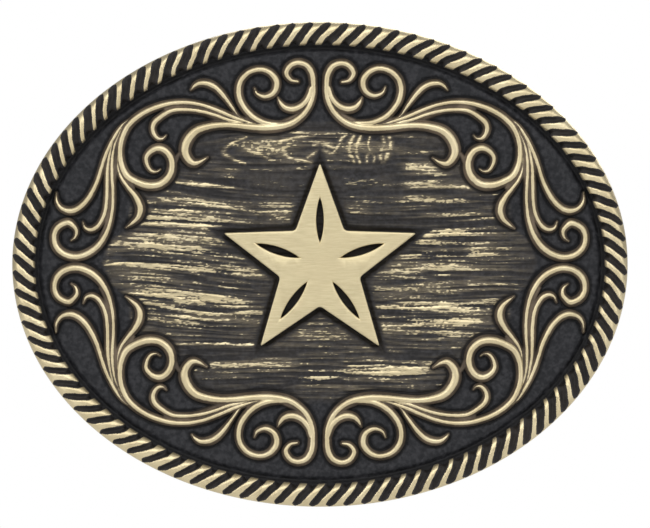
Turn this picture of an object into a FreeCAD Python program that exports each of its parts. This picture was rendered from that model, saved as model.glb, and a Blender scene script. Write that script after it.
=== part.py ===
"""Western oval belt buckle: a bowed casting with a raised rim and a star emblem studded to its face, and on
its back a hinge leaf with a swinging belt loop, and a leaning hook on a base of its own.

Frame: +X to the right and +Z up as the buckle is worn and seen from the front, +Y towards the wearer.
The origin is the middle of the casting's back surface, where the belt lies. Millimetres and degrees.
"""

import FreeCAD
import Part
import math
import os
import Sketcher

from FreeCAD import Placement, Rotation, Vector

SIZES = [
    # the casting
    ("plate_width", 96.0, "oval, left to right"),
    ("plate_height", 75.4, "oval, top to bottom"),
    ("bow_radius", 230.0, "the back surface, about an upright axis behind it"),
    ("ground_thick", 2.4, "sunk ground, front to back"),
    ("rim_width", 3.6, "rope rim, outside to inside"),
    ("rim_height", 1.9, "rope rim above the ground"),
    ("rim_round", 1.3, "the rim's two front edges"),
    ("back_round", 0.7, "the back's outer edge"),
    ("prism_reach", 20.0, "outlines are drawn out this far each way before the bow cuts them"),
    ("bow_overlap", 1.0, "pads start this far inside the casting"),
    # the emblem
    ("star_reach", 15.2, "centre to tip"),
    ("star_waist", 6.5, "centre to inner corner"),
    ("star_thick", 1.5, "its face above the ground"),
    ("star_lift", 0.3, "its centre above the oval's"),
    ("slit_start", 3.4, "star's centre to the slit in each arm"),
    ("slit_length", 7.0, "along the arm"),
    ("slit_width", 1.0, "at its middle"),
    ("stud_radius", 0.9, "two studs on the emblem's back"),
    ("stud_out", 6.2, "stud from the star's centre, out along a side arm"),
    ("stud_proud", 0.5, "stud past its washer"),
    ("washer_radius", 2.4, "push-on washer"),
    ("washer_thick", 0.6, "push-on washer"),
    ("washer_sunk", 0.3, "spot face under it"),
    ("washer_room", 0.2, "spot face round it"),
    # the hinge
    ("hinge_station", 18.0, "right of the middle"),
    ("pin_radius", 1.3, "hinge pin"),
    ("pin_play", 0.08, "radial, pin in barrel"),
    ("pin_proud", 0.5, "each peened end past its eye"),
    ("leaf_thick", 1.1, "hinge leaf's sheet"),
    ("leaf_flange", 7.0, "its flat part, from the barrel's outside"),
    ("leaf_corner", 2.0, "corner radius"),
    ("leaf_seam", 0.25, "seam where the barrel's roll ends"),
    ("leaf_pad", 1.2, "cast pad under it, above the back"),
    ("pad_margin", 0.6, "cast pads round what they carry"),
    ("end_play", 0.25, "barrel to each eye"),
    # the belt loop
    ("belt_width", 38.0, "strap that the loop takes"),
    ("belt_room", 2.0, "inside width over the strap"),
    ("bar_radius", 1.5, "round bar"),
    ("loop_length", 16.6, "hinge axis to strap bar"),
    ("loop_bend", 3.4, "bar centre's radius at the corners"),
    ("loop_open", 14.0, "swung out at rest, in degrees from the back's tangent"),
    ("eye_radius", 2.6, "eye round the pin"),
    ("eye_length", 3.4, "along the pin"),
    # the hook
    ("hook_station", -33.0, "left of the middle"),
    ("hook_pad", 0.7, "cast pad under its base, above the back"),
    ("base_length", 18.0, "up and down"),
    ("base_width", 9.0, "side to side"),
    ("base_thick", 1.2, "sheet"),
    ("base_corner", 2.5, "corner radius"),
    ("collar_radius", 3.3, "thick foot of the hook, square to its lean"),
    ("collar_height", 2.3, "base to its shoulder, along the lean"),
    ("hook_radius", 2.3, "round shank that goes through the strap's hole"),
    ("hook_length", 7.4, "base to the round end's centre, along the lean"),
    ("hook_lean", 20.0, "towards the loop, in degrees from square to the base"),
    ("tenon_radius", 1.5, "foot pressed through the base"),
    ("tenon_proud", 0.5, "foot past the base's underside"),
    ("tenon_room", 0.2, "hole round and under it in the casting"),
    # the rivets
    ("rivet_radius", 1.0, "shank"),
    ("rivet_head", 1.8, "head radius"),
    ("rivet_dome", 0.8, "head height"),
    ("rivet_depth", 2.2, "shank below the sheet that it holds"),
    ("rivet_fit", 0.02, "radial, round every pressed shank"),
    ("leaf_rivet_pitch", 14.0, "three in the hinge leaf"),
    ("base_rivet_pitch", 12.4, "two in the hook's base"),
]

# Sizes that follow from the ones above, as formulas of them.
BARREL = "([pin_radius] + [pin_play] + [leaf_thick])"
HINGE_HEIGHT = f"([leaf_pad] + {BARREL})"
HALF_ROOM = "(([belt_width] + [belt_room]) / 2)"
LEAF_LENGTH = f"(2 * {HALF_ROOM} - 2 * [end_play])"
LEAF_REACH = f"({BARREL} + [leaf_flange])"
LEAF_TOP = "([leaf_pad] + [leaf_thick])"
RIVET_LINE = f"(-{BARREL} - [leaf_flange] / 2)"
BASE_TOP = "([hook_pad] + [base_thick])"
EYE_END = f"({HALF_ROOM} + [eye_length])"
SIDE_ARM = 18  # degrees above level, the star's two side arms
STAR_ARMS = 5

HOME = ("0", "0", "0")
TO_BACK = Rotation(Vector(1, 0, 0), -90)  # lays a primitive's length along +Y, out of the back
TO_RIGHT = Rotation(Vector(0, 1, 0), 90)  # along +X

doc = FreeCAD.newDocument("belt_buckle")
sheet = doc.addObject("Spreadsheet::Sheet", "sizes")


def fill_sheet():
    for row, (alias, value, note) in enumerate(SIZES, 1):
        sheet.set(f"A{row}", alias)
        sheet.set(f"B{row}", str(value))
        sheet.setAlias(f"B{row}", alias)
        sheet.set(f"C{row}", note)
    doc.recompute()


def size(alias):
    return float(sheet.get(alias))


def formula(text):
    """Turns each [size] in text into that size's cell."""
    return text.replace("[", "sizes.").replace("]", "")


def bind(piece, **formulas):
    for name, text in formulas.items():
        piece.setExpression(name, formula(text))


def put(piece, at, turn=None):
    if turn is not None:
        piece.Placement = Placement(Vector(), turn)
    for letter, text in zip("xyz", at):
        piece.setExpression(f"Placement.Base.{letter}", formula(text))
    return piece


def primitive(kind, name, at=HOME, turn=None, **formulas):
    piece = doc.addObject("Part::" + kind, name)
    bind(piece, **formulas)
    return put(piece, at, turn)


def joined(kind, name, pieces):
    """A MultiFuse, MultiCommon or Compound of pieces."""
    whole = doc.addObject("Part::" + kind, name)
    if kind == "Compound":
        whole.Links = pieces
    else:
        whole.Shapes = pieces
    return whole


def cut(name, base, tool):
    rest = doc.addObject("Part::Cut", name)
    rest.Base = base
    rest.Tool = tool
    return rest


def back_at(station):
    """How far the bowed back's surface lies behind the origin at a station."""
    return f"([bow_radius] - sqrt([bow_radius]^2 - ({station})^2))"


def seat(piece, station):
    """Sets a piece that is built at the origin square on the bowed back at a station."""
    put(piece, (station, back_at(station), "0"), Rotation(Vector(0, 0, 1), 1))
    piece.setExpression("Placement.Rotation.Angle", formula(f"asin(({station}) / [bow_radius])"))
    return piece


def bow(name, above_back):
    """A cylinder whose front follows the bow, above_back in front of the back surface."""
    return primitive(
        "Cylinder",
        name,
        at=("0", "[bow_radius]", "-[plate_height]"),
        Radius=f"[bow_radius] + {above_back}",
        Height="2 * [plate_height]",
    )


def prism(name, outline):
    solid = doc.addObject("Part::Extrusion", name)
    solid.Base = outline
    solid.DirMode = "Custom"
    solid.Dir = Vector(0, 1, 0)
    solid.Solid = True
    bind(solid, LengthFwd="[prism_reach]", LengthRev="[prism_reach]")
    return solid


def oval(name, inset):
    outline = primitive(
        "Ellipse",
        name + "_outline",
        turn=Rotation(Vector(1, 0, 0), 90),
        MajorRadius=f"[plate_width] / 2 - {inset}",
        MinorRadius=f"[plate_height] / 2 - {inset}",
    )
    return prism(name, outline)


def pad(name, station, left, right, length, height):
    """A flat-topped cast pad on the back, height above it at the station."""
    block = primitive(
        "Box",
        name + "_block",
        at=(left, "-[bow_overlap]", f"-{length} / 2"),
        Length=f"({right}) - ({left})",
        Width=f"[bow_overlap] + {height}",
        Height=length,
    )
    return seat(joined("Compound", name, [block]), station)


def rivet_places(name):
    """The name, station, distance along the tangent, height and face above the back of each rivet."""
    if name == "leaf":
        for step in (-1, 0, 1):
            yield "[hinge_station]", RIVET_LINE, f"{step} * [leaf_rivet_pitch]", "[leaf_pad]", "[leaf_thick]"
    else:
        for step in (-0.5, 0.5):
            yield "[hook_station]", "0", f"{step} * [base_rivet_pitch]", "[hook_pad]", "[base_thick]"


def rivet_holes(name):
    """Blind holes under the rivets of the leaf or the base, seated where it is."""
    holes = []
    for number, (station, across, up, face, thick) in enumerate(rivet_places(name), 1):
        holes.append(
            primitive(
                "Cylinder",
                f"{name}_hole_{number}",
                at=(across, f"{face} - [rivet_depth]", up),
                turn=TO_BACK,
                Radius="[rivet_radius] + [rivet_fit]",
                Height=f"[rivet_depth] + {thick} + [bow_overlap]",
            )
        )
    return seat(joined("Compound", name + "_holes", holes), station)


def casting():
    padded = joined("MultiFuse", "padded_casting", [rounded_casting(), leaf_seat(), hook_seat()])
    cutters = [rivet_holes("leaf"), rivet_holes("base"), tenon_hole()]
    for side, (across, up) in stud_places().items():
        hole = ("[stud_radius] + [rivet_fit]", "-[prism_reach]", "[prism_reach]")
        spot = ("[washer_radius] + [washer_room]", f"{back_at(across)} - [washer_sunk]", "[prism_reach]")
        cutters.append(stud_cylinder(f"{side}_stud_hole", across, up, *hole))
        cutters.append(stud_cylinder(f"{side}_spot_face", across, up, *spot))
    return cut("buckle_plate", padded, joined("Compound", "casting_cutters", cutters))


def rounded_casting():
    """The bowed slab and the rim on it, with their outside edges rounded."""
    slab_block = joined("MultiCommon", "slab_block", [oval("oval", "0"), bow("ground", "[ground_thick]")])
    slab = cut("slab", slab_block, bow("back", "0"))
    ring_prism = cut("ring_prism", oval("ring_oval", "0"), oval("field_oval", "[rim_width]"))
    rim_face = bow("rim_face", "([ground_thick] + [rim_height])")
    ring = cut("ring", joined("MultiCommon", "ring_block", [ring_prism, rim_face]), bow("ring_back", "0"))
    plain = joined("MultiFuse", "plain_casting", [slab, ring])
    doc.recompute()
    rounded = doc.addObject("Part::Fillet", "rounded_casting")
    rounded.Base = plain
    rounded.Edges = rim_edges(plain.Shape)
    return rounded


def leaf_seat():
    left = f"-{LEAF_REACH} - [pad_margin]"
    return pad("leaf_seat", "[hinge_station]", left, "0", LEAF_LENGTH, "[leaf_pad]")


def hook_seat():
    half = "([base_width] / 2 + [pad_margin])"
    length = "([base_length] + 2 * [pad_margin])"
    return pad("hook_seat", "[hook_station]", f"-{half}", half, length, "[hook_pad]")


def tenon_hole():
    depth = "([tenon_proud] + [tenon_room])"
    hole = primitive(
        "Cylinder",
        "tenon_hole_cutter",
        at=("0", f"[hook_pad] - {depth}", "0"),
        turn=TO_BACK,
        Radius="[tenon_radius] + [tenon_room]",
        Height=f"{depth} + [bow_overlap]",
    )
    return seat(joined("Compound", "tenon_hole", [hole]), "[hook_station]")


def rim_edges(shape):
    """The rim's two front edges and the back's outer edge, with the radius of each, for the fillet."""
    rounds = {0.0: size("back_round"), size("ground_thick") + size("rim_height"): size("rim_round")}
    chosen = []
    for number, edge in enumerate(shape.Edges, 1):
        middle = edge.valueAt((edge.FirstParameter + edge.LastParameter) / 2)
        above = math.hypot(middle.x, middle.y - size("bow_radius")) - size("bow_radius")
        for level, radius in rounds.items():
            if abs(above - level) < 0.01:
                chosen.append((number, radius, radius))
    return chosen


def stud_places():
    """Each stud's place across and up, out along the star's side arms."""
    across = f"([stud_out] * cos({SIDE_ARM}))"
    up = f"([star_lift] + [stud_out] * sin({SIDE_ARM}))"
    return {"left": (f"(-{across})", up), "right": (across, up)}


def stud_cylinder(name, across, up, radius, front, back):
    return primitive("Cylinder", name, at=(across, front, up), turn=TO_BACK, Radius=radius,
                     Height=f"({back}) - ({front})")


def plane_sketch(body, name, role):
    sketch = body.newObject("Sketcher::SketchObject", name)
    plane = [feature for feature in body.Origin.OriginFeatures if feature.Role == role][0]
    sketch.AttachmentSupport = [(plane, "")]
    sketch.MapMode = "FlatFace"
    return sketch


def bind_point(sketch, element, end, across, up):
    """Ties one point of a sketch to its formulas, measured from the sketch's origin."""
    point = sketch.getPoint(element, end)
    for kind, value, text in (("DistanceX", point.x, across), ("DistanceY", point.y, up)):
        number = sketch.addConstraint(Sketcher.Constraint(kind, -1, 1, element, end, value))
        sketch.renameConstraint(number, f"{kind}_{element}_{end}")
        sketch.setExpression(f"Constraints.{kind}_{element}_{end}", formula(text))


def bind_radius(sketch, element, text):
    number = sketch.addConstraint(Sketcher.Constraint("Radius", element, sketch.Geometry[element].Radius))
    sketch.renameConstraint(number, f"radius_{element}")
    sketch.setExpression(f"Constraints.radius_{element}", formula(text))


def draw_polygon(sketch, corners):
    """A closed outline; each corner is (across, up), two formulas with a value each to start from."""
    count = len(corners)
    for number in range(count):
        start = Vector(*corners[number][2:], 0)
        end = Vector(*corners[(number + 1) % count][2:], 0)
        sketch.addGeometry(Part.LineSegment(start, end))
    for number in range(count):
        sketch.addConstraint(Sketcher.Constraint("Coincident", number, 2, (number + 1) % count, 1))
    for number, corner in enumerate(corners):
        bind_point(sketch, number, 1, *corner[:2])


def draw_circle(sketch, radius, across="0", up="0"):
    element = sketch.addGeometry(Part.Circle(Vector(), Vector(0, 0, 1), 1.0))
    bind_point(sketch, element, 3, across, up)
    bind_radius(sketch, element, radius)


def draw_rectangle(sketch, left, right, bottom, top):
    corners = [(left, bottom, 0, 0), (right, bottom, 1, 0), (right, top, 1, 1), (left, top, 0, 1)]
    draw_polygon(sketch, corners)


def star_body():
    """The star as a prism through the bow, slit along each arm."""
    body = doc.addObject("PartDesign::Body", "star_prism")
    outline = plane_sketch(body, "star_outline", "XZ_Plane")
    corners = []
    for step in range(2 * STAR_ARMS):
        reach = "[star_waist]" if step % 2 else "[star_reach]"
        turn = 90 + step * 180 / STAR_ARMS
        start = size(reach[1:-1])
        corners.append((f"{reach} * cos({turn})", f"{reach} * sin({turn})",
                        start * math.cos(math.radians(turn)), start * math.sin(math.radians(turn))))
    draw_polygon(outline, corners)
    block = body.newObject("PartDesign::Pad", "star_block")
    block.Profile = outline
    block.Midplane = True
    bind(block, Length="2 * [prism_reach]")
    slit = plane_sketch(body, "slit_outline", "XZ_Plane")
    foot = Vector(0, size("slit_start"), 0)
    tip = foot + Vector(0, size("slit_length"), 0)
    bulge = Vector(size("slit_width") / 2, 0, 0)
    slit.addGeometry(Part.Arc(foot, (foot + tip) / 2 + bulge, tip))
    slit.addGeometry(Part.Arc(tip, (foot + tip) / 2 - bulge, foot))
    slit.addConstraint(Sketcher.Constraint("Coincident", 0, 2, 1, 1))
    slit.addConstraint(Sketcher.Constraint("Coincident", 1, 2, 0, 1))
    bind_point(slit, 0, 1, "0", "[slit_start]")
    bind_point(slit, 0, 2, "0", "[slit_start] + [slit_length]")
    for element in (0, 1):
        bind_radius(slit, element, "([slit_length]^2 + [slit_width]^2) / (4 * [slit_width])")
    doc.recompute()
    pocket = body.newObject("PartDesign::Pocket", "slit")
    pocket.Profile = slit
    pocket.Type = "ThroughAll"
    pocket.Midplane = True
    doc.recompute()
    pattern = body.newObject("PartDesign::PolarPattern", "slits")
    pattern.Originals = [pocket]
    pattern.Axis = (outline, ["N_Axis"])
    pattern.Angle = 360
    pattern.Occurrences = STAR_ARMS
    body.Tip = pattern
    return put(body, ("0", "0", "[star_lift]"))


def emblem():
    face = bow("star_face", "([ground_thick] + [star_thick])")
    shell = cut("star_shell", face, bow("star_seat", "[ground_thick]"))
    star = joined("MultiCommon", "star", [star_body(), shell])
    studs = []
    for side, (across, up) in stud_places().items():
        front = "-[ground_thick] - [star_thick] / 2"
        end = f"{back_at(across)} - [washer_sunk] + [washer_thick] + [stud_proud]"
        studs.append(stud_cylinder(f"{side}_stud", across, up, "[stud_radius]", front, end))
    return joined("MultiFuse", "emblem_star", [star] + studs)


def washers():
    rings = []
    for side, (across, up) in stud_places().items():
        front = f"{back_at(across)} - [washer_sunk]"
        ends = (front, f"{front} + [washer_thick]")
        disc = stud_cylinder(f"{side}_washer_disc", across, up, "[washer_radius]", *ends)
        hole = stud_cylinder(f"{side}_washer_hole", across, up, "[stud_radius] + [rivet_fit]", *ends)
        rings.append(cut(f"{side}_washer", disc, hole))
    return joined("Compound", "emblem_washers", rings)


def rivets(name, label):
    """Domed rivets, each with its shank pressed into the casting."""
    ball = "(([rivet_head]^2 + [rivet_dome]^2) / (2 * [rivet_dome]))"
    pieces = []
    for number, (station, across, up, face, thick) in enumerate(rivet_places(name), 1):
        dome = primitive(
            "Sphere",
            f"{name}_rivet_dome_{number}",
            at=(across, f"{face} + {thick} + [rivet_dome] - {ball}", up),
            turn=TO_BACK,
            Radius=ball,
            Angle1=f"asin(({ball} - [rivet_dome]) / {ball})",
        )
        shank = primitive(
            "Cylinder",
            f"{name}_rivet_shank_{number}",
            at=(across, f"{face} - [rivet_depth]", up),
            turn=TO_BACK,
            Radius="[rivet_radius]",
            Height=f"[rivet_depth] + {thick} + [rivet_dome] / 2",
        )
        pieces.append(joined("MultiFuse", f"{name}_rivet_{number}", [dome, shank]))
    return seat(joined("Compound", label, pieces), station)


def sheet_body(name, left, right, length, corner, face, thick, holes):
    """A flat sheet on its cast pad with rounded corners, bored for its rivets."""
    body = doc.addObject("PartDesign::Body", name)
    outline = plane_sketch(body, name + "_outline", "XZ_Plane")
    draw_rectangle(outline, left, right, f"-({length}) / 2", f"({length}) / 2")
    blank = body.newObject("PartDesign::Pad", name + "_blank")
    blank.Profile = outline
    blank.Reversed = True
    bind(blank, Length=thick)
    doc.recompute()
    rounded = body.newObject("PartDesign::Fillet", name + "_corners")
    rounded.Base = (blank, corner_edges(blank.Shape, name))
    bind(rounded, Radius=corner)
    bores = plane_sketch(body, name + "_bores", "XZ_Plane")
    for radius, across, up in holes:
        draw_circle(bores, radius, across, up)
    doc.recompute()
    pocket = body.newObject("PartDesign::Pocket", name + "_holes")
    pocket.Profile = bores
    pocket.Type = "ThroughAll"
    pocket.Midplane = True
    body.Tip = pocket
    return put(body, ("0", face, "0"))


def corner_edges(shape, name):
    """The upright edges of a sheet's corners; the hinge leaf keeps square the two beside its barrel."""
    chosen = []
    box = shape.BoundBox
    for number, edge in enumerate(shape.Edges, 1):
        along = edge.Vertexes[0].Point - edge.Vertexes[1].Point
        beside_barrel = name == "flange" and abs(edge.Vertexes[0].X - box.XMax) < 0.01
        if abs(along.x) + abs(along.z) < 0.01 and not beside_barrel:
            chosen.append(f"Edge{number}")
    return chosen


def hinge_leaf():
    holes = [("[rivet_radius] + [rivet_fit]", across, up) for _, across, up, _, _ in rivet_places("leaf")]
    flange = sheet_body("flange", f"-{LEAF_REACH}", "0", LEAF_LENGTH, "[leaf_corner]", "[leaf_pad]",
                        "[leaf_thick]", holes)
    roll = primitive("Cylinder", "barrel_roll", at=("0", HINGE_HEIGHT, f"-{LEAF_LENGTH} / 2"),
                     Radius=BARREL, Height=LEAF_LENGTH)
    bore = primitive("Cylinder", "barrel_bore", at=("0", HINGE_HEIGHT, f"-{LEAF_LENGTH}"),
                     Radius="[pin_radius] + [pin_play]", Height=f"2 * {LEAF_LENGTH}")
    seam = primitive("Box", "barrel_seam", at=(f"-2 * {BARREL}", LEAF_TOP, f"-{LEAF_LENGTH}"),
                     Length=f"2 * {BARREL}", Width="[leaf_seam]", Height=f"2 * {LEAF_LENGTH}")
    solid = joined("MultiFuse", "leaf_solid", [flange, roll])
    cutters = joined("MultiFuse", "leaf_cutters", [bore, seam])
    return seat(cut("hinge_leaf", solid, cutters), "[hinge_station]")


def swing(piece):
    """Hangs a piece built about the upright hinge axis at the origin on the hinge, open as it is at rest."""
    lean = "asin([hinge_station] / [bow_radius])"
    across = f"[hinge_station] - {HINGE_HEIGHT} * [hinge_station] / [bow_radius]"
    behind = f"{back_at('[hinge_station]')} + {HINGE_HEIGHT} * cos({lean})"
    put(piece, (across, behind, "0"), Rotation(Vector(0, 0, 1), 1))
    piece.setExpression("Placement.Rotation.Angle", formula(f"{lean} + [loop_open] * 1 deg"))
    return piece


def belt_loop():
    middle = f"({HALF_ROOM} + [bar_radius])"
    pieces = [primitive("Cylinder", "strap_bar", at=("[loop_length]", "0", f"-({middle} - [loop_bend])"),
                        Radius="[bar_radius]", Height=f"2 * ({middle} - [loop_bend])")]
    for side, sign, first in (("top", "", 0), ("bottom", "-", -90)):
        pieces.append(primitive("Cylinder", f"{side}_arm", at=("0", "0", f"{sign}{middle}"), turn=TO_RIGHT,
                                Radius="[bar_radius]", Height="[loop_length] - [loop_bend]"))
        corner = primitive("Torus", f"{side}_corner",
                           at=("[loop_length] - [loop_bend]", "0", f"{sign}({middle} - [loop_bend])"),
                           turn=Rotation(Vector(0, 1, 0), -first) * Rotation(Vector(1, 0, 0), 90),
                           Radius1="[loop_bend]", Radius2="[bar_radius]")
        corner.Angle3 = 90
        pieces.append(corner)
        low = HALF_ROOM if side == "top" else f"-{EYE_END}"
        pieces.append(primitive("Cylinder", f"{side}_eye", at=("0", "0", low), Radius="[eye_radius]",
                                Height="[eye_length]"))
    bore = primitive("Cylinder", "eye_bores", at=("0", "0", f"-2 * {EYE_END}"),
                     Radius="[pin_radius] + [rivet_fit]", Height=f"4 * {EYE_END}")
    return swing(cut("belt_loop", joined("MultiFuse", "loop_solid", pieces), bore))


def hinge_pin():
    length = f"(2 * {EYE_END} + 2 * [pin_proud])"
    low = f"-{length} / 2"
    rod = primitive("Cylinder", "pin_rod", at=("0", "0", low), Radius="[pin_radius]", Height=length)
    return swing(joined("Compound", "hinge_pin", [rod]))


def hook_base():
    holes = [("[rivet_radius] + [rivet_fit]", across, up) for _, across, up, _, _ in rivet_places("base")]
    holes.append(("[tenon_radius] + [rivet_fit]", "0", "0"))
    body = sheet_body("base_sheet", "-[base_width] / 2", "[base_width] / 2", "[base_length]", "[base_corner]",
                      "[hook_pad]", "[base_thick]", holes)
    return seat(joined("Compound", "hook_base", [body]), "[hook_station]")


def hook():
    """The leaning shank with its round end and thick foot, cut flat on the base, and the tenon under it."""
    start = "-[collar_radius]"
    shank = primitive("Cylinder", "shank_rod", at=("0", start, "0"), turn=TO_BACK, Radius="[hook_radius]",
                      Height="[collar_radius] + [hook_length]")
    tip = primitive("Sphere", "shank_tip", at=("0", "[hook_length]", "0"), Radius="[hook_radius]")
    collar = primitive("Cylinder", "collar", at=("0", start, "0"), turn=TO_BACK, Radius="[collar_radius]",
                       Height="[collar_radius] + [collar_height]")
    rod = joined("MultiFuse", "straight_rod", [shank, tip, collar])
    put(rod, ("0", BASE_TOP, "0"), Rotation(Vector(0, 0, -1), 1))
    rod.setExpression("Placement.Rotation.Angle", formula("[hook_lean] * 1 deg"))
    above = primitive("Box", "above_base", at=("-[prism_reach]", BASE_TOP, "-[prism_reach]"),
                      Length="2 * [prism_reach]", Width="2 * [prism_reach]", Height="2 * [prism_reach]")
    foot = primitive("Cylinder", "tenon", at=("0", "[hook_pad] - [tenon_proud]", "0"), turn=TO_BACK,
                     Radius="[tenon_radius]", Height="[tenon_proud] + [base_thick] + [tenon_proud]")
    pieces = [joined("MultiCommon", "shank", [rod, above]), foot]
    return seat(joined("MultiFuse", "strap_hook", pieces), "[hook_station]")


def export(pieces):
    doc.recompute()
    for thing in doc.Objects:
        for word in ("Invalid", "Error"):
            if word in thing.State:
                raise RuntimeError(f"{thing.Name}: {thing.State}")
    os.makedirs("parts", exist_ok=True)
    for piece in pieces:
        shape = piece.Shape
        if shape.isNull() or not shape.isValid() or not shape.Solids:
            raise RuntimeError(f"{piece.Label} has no sound solid")
        print(f"{piece.Label}: {len(shape.Solids)} solids, {shape.Volume:.1f} mm3, {shape.BoundBox}")
    for piece in pieces:
        piece.Shape.exportStep(f"parts/{piece.Label}.step")


fill_sheet()
export([
    casting(),
    emblem(),
    washers(),
    hinge_leaf(),
    rivets("leaf", "leaf_rivets"),
    belt_loop(),
    hinge_pin(),
    hook_base(),
    rivets("base", "base_rivets"),
    hook(),
])
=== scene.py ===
"""Looks for the oval western belt buckle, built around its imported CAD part.

The front is one carved face: scrolls, wood ground and pebbled border are a height field on the bowed oval.
Lengths in the making of the mesh are in millimetres, and the mesh itself is in metres.
"""
import math

import bmesh
import bpy
import numpy as np
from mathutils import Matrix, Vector


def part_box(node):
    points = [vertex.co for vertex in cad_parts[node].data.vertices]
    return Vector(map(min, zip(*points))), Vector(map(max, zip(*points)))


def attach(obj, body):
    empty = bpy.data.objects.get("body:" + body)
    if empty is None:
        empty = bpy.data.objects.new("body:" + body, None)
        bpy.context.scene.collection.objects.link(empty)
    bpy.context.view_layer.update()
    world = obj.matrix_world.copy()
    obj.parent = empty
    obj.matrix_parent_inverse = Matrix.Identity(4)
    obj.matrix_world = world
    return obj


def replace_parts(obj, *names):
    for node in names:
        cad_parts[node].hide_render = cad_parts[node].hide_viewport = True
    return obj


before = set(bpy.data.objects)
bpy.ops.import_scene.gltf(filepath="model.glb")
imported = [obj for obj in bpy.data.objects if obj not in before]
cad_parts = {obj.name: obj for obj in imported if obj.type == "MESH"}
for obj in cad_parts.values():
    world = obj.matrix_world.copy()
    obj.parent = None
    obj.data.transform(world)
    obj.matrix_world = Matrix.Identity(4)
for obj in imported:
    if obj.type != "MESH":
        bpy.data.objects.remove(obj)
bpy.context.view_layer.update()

MM = 0.001
BOW_RADIUS = 230.0  # the back's radius, side to side
PLATE_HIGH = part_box("buckle_plate")[1]
HALF_WIDTH = PLATE_HIGH.x / MM
HALF_HEIGHT = PLATE_HIGH.z / MM
GROUND = 2.4  # height of the carved ground over the back
RIM_WIDTH = 3.6
ROPE_CENTRE = 2.65  # height of the rope's middle over the back
ROPE_RISE = 1.62  # from its middle to its top
ROPE_HALF = 1.8  # half its width
ROPE_STEPS, ROPE_SIDES = 2000, 40  # how finely the rope is drawn, along and round
STRANDS = 100
STAR_TIP, STAR_WAIST = 15.3, 6.5  # how far the star's tips and the corners between them reach
STAR_OVERHANG = 0.35  # of the arms, for their corners are cut round
STAR_CORNER = 0.55
STAR_TOP, STAR_HALF, STAR_BEVEL = 3.9, 0.75, 0.22  # its top over the back, half its thickness, its bevel
SLIT_START, SLIT_LENGTH, SLIT_WIDTH = 3.4, 7.0, 1.15
WASHER_RADIUS = 2.4
HOLLOW_REACH = 0.45  # how wide a hollow the patina gathers in


# ---------- shapes

def bowed(x, z, height):
    """Points of the bowed plate, in metres: height is over the back surface."""
    y = BOW_RADIUS - np.sqrt((BOW_RADIUS + height) ** 2 - x ** 2)
    return np.stack([x, y, z], axis=-1) * MM


def ramp(low, high, value):
    """0 below low, 1 above high and smooth between; low may be the larger."""
    s = np.clip((value - low) / (high - low), 0, 1)
    return s * s * (3 - 2 * s)


def blurred(field, cells):
    """A soft copy of a grid, by repeated sums of its shifted rows and columns."""
    reach = int(3 * cells) + 1
    taps = np.exp(-0.5 * (np.arange(-reach, reach + 1) / cells) ** 2)
    taps /= taps.sum()
    out = field
    for axis in (0, 1):
        padded = np.pad(out, [(reach, reach) if a == axis else (0, 0) for a in (0, 1)], mode="edge")
        length = out.shape[axis]
        total = np.zeros_like(out)
        for k, tap in enumerate(taps):
            total += tap * (padded[k:k + length] if axis == 0 else padded[:, k:k + length])
        out = total
    return out


def soft_noise(a, b, seed):
    """Smooth value noise from -1 to 1 at places a, b, one cell to a unit."""
    lattice = np.random.default_rng(seed).uniform(-1, 1, (256, 256))
    ia, ib = np.floor(a).astype(int), np.floor(b).astype(int)
    fa, fb = a - ia, b - ib
    fa, fb = fa * fa * (3 - 2 * fa), fb * fb * (3 - 2 * fb)
    pick = lambda i, j: lattice[i % 256, j % 256]
    near = pick(ia, ib) * (1 - fa) + pick(ia + 1, ib) * fa
    far = pick(ia, ib + 1) * (1 - fa) + pick(ia + 1, ib + 1) * fa
    return near * (1 - fb) + far * fb


CURVE_STEP = 0.06


def rows(numbers, columns=3):
    """A flat run of numbers as an array with that many in a row."""
    return np.array(numbers, float).reshape(-1, columns)


def smooth_curve(stroke):
    """Points along a centripetal Catmull-Rom curve through a stroke's own points, with its half width."""
    p = rows(stroke)
    ends = np.vstack([2 * p[0] - p[1], p, 2 * p[-1] - p[-2]])
    out = []
    for i in range(1, len(ends) - 2):
        a, b, c, d = ends[i - 1:i + 3]
        gaps = [max(np.hypot(*(far - near)[:2]), 1e-6) ** 0.5 for near, far in ((a, b), (b, c), (c, d))]
        ta, tb, tc, td = 0.0, gaps[0], gaps[0] + gaps[1], gaps[0] + gaps[1] + gaps[2]
        count = max(2, int(np.hypot(*(c - b)[:2]) / CURVE_STEP))
        t = np.linspace(tb, tc, count, endpoint=False)[:, None]
        ab = (tb - t) / (tb - ta) * a + (t - ta) / (tb - ta) * b
        bc = (tc - t) / (tc - tb) * b + (t - tb) / (tc - tb) * c
        cd = (td - t) / (td - tc) * c + (t - tc) / (td - tc) * d
        abc = (tc - t) / (tc - ta) * ab + (t - ta) / (tc - ta) * bc
        bcd = (td - t) / (td - tb) * bc + (t - tb) / (td - tb) * cd
        out.append((tc - t) / (tc - tb) * abc + (t - tb) / (tc - tb) * bcd)
    out.append(p[-1:])
    return np.vstack(out)


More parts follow.
